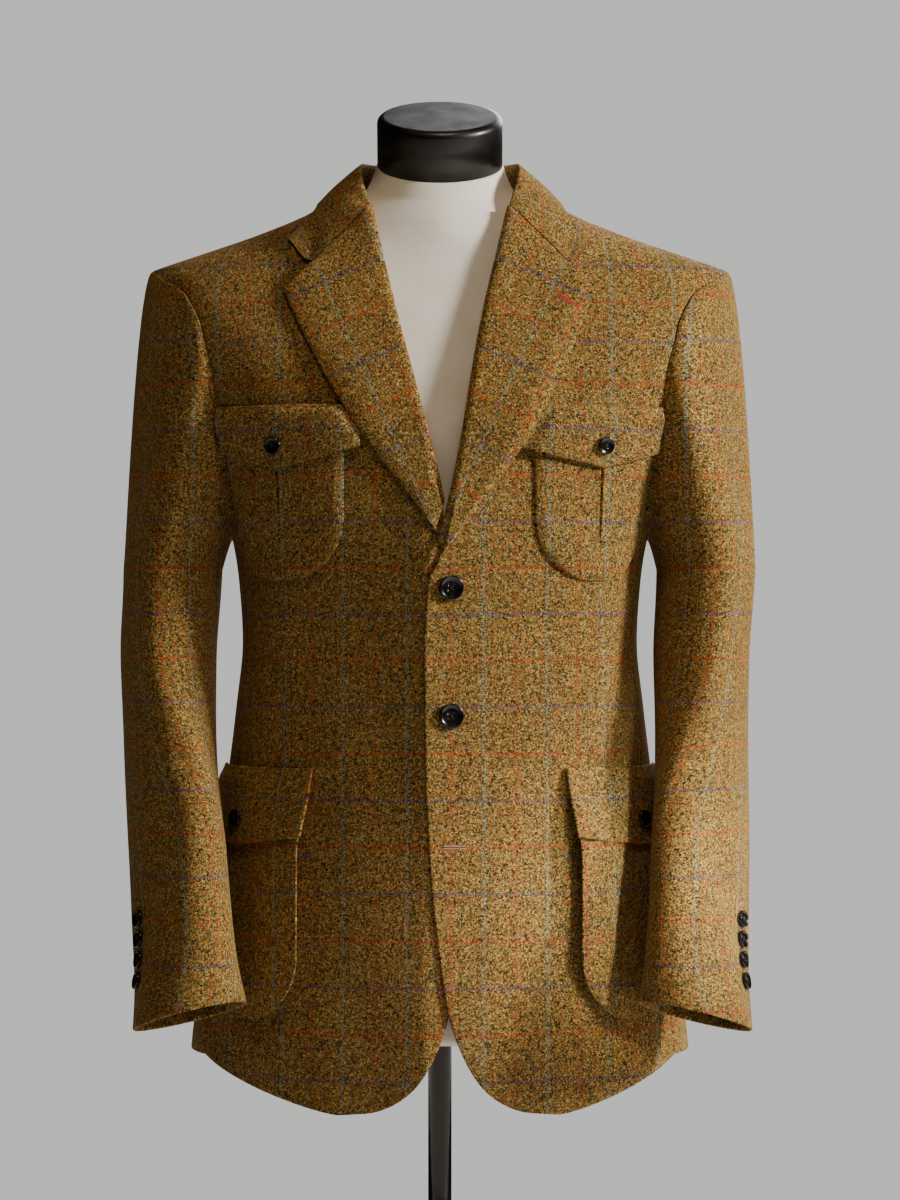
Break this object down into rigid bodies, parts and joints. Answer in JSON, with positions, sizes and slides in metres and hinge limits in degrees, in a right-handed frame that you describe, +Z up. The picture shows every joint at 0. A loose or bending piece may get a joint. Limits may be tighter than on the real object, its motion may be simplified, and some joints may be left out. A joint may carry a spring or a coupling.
{
  "type": "tweed jacket on a dress form",
  "caption": "Single-breasted windowpane tweed jacket with notch lapels and buttoned patch pockets, hanging on a limbless dress form with a neck cap, a pole and a round base.",
  "frame": {"origin": "centre of the underside of the base, on the floor", "axes": "+Z up, -Y to the front of the jacket, +X to the wearer's left"},
  "size_m": [0.5286, 0.4, 1.5869],
  "materials": {
    "tweed": "woven windowpane twill, soft nap",
    "horn": "polished dark horn",
    "form_cover": "plain woven cotton cover",
    "black_wood": "satin black lacquer",
    "black_steel": "semi-gloss black enamel"
  },
  "bodies": {
    "root": {"form_torso": "form_cover", "form_neck_cap": "black_wood", "form_pole": "black_steel", "form_base": "black_steel", "front_left": "tweed", "front_right": "tweed", "side_left": "tweed", "side_right": "tweed", "back_left": "tweed", "back_right": "tweed", "sleeve_head_left": "tweed", "sleeve_head_right": "tweed", "sleeve_top_left": "tweed", "sleeve_top_right": "tweed", "sleeve_under_left": "tweed", "sleeve_under_right": "tweed", "lapel_left": "tweed", "lapel_right": "tweed", "collar": "tweed", "breast_pocket_left": "tweed", "breast_pocket_right": "tweed", "breast_flap_left": "tweed", "breast_flap_right": "tweed", "lower_pocket_left": "tweed", "lower_pocket_right": "tweed", "lower_gusset_left": "tweed", "lower_gusset_right": "tweed", "lower_flap_left": "tweed", "lower_flap_right": "tweed", "front_button_upper": "horn", "front_button_lower": "horn", "breast_button_left": "horn", "breast_button_right": "horn", "lower_button_left": "horn", "lower_button_right": "horn", "cuff_button_left_1": "horn", "cuff_button_left_2": "horn", "cuff_button_left_3": "horn", "cuff_button_left_4": "horn", "cuff_button_right_1": "horn", "cuff_button_right_2": "horn", "cuff_button_right_3": "horn", "cuff_button_right_4": "horn"}
  },
  "joints": []
}
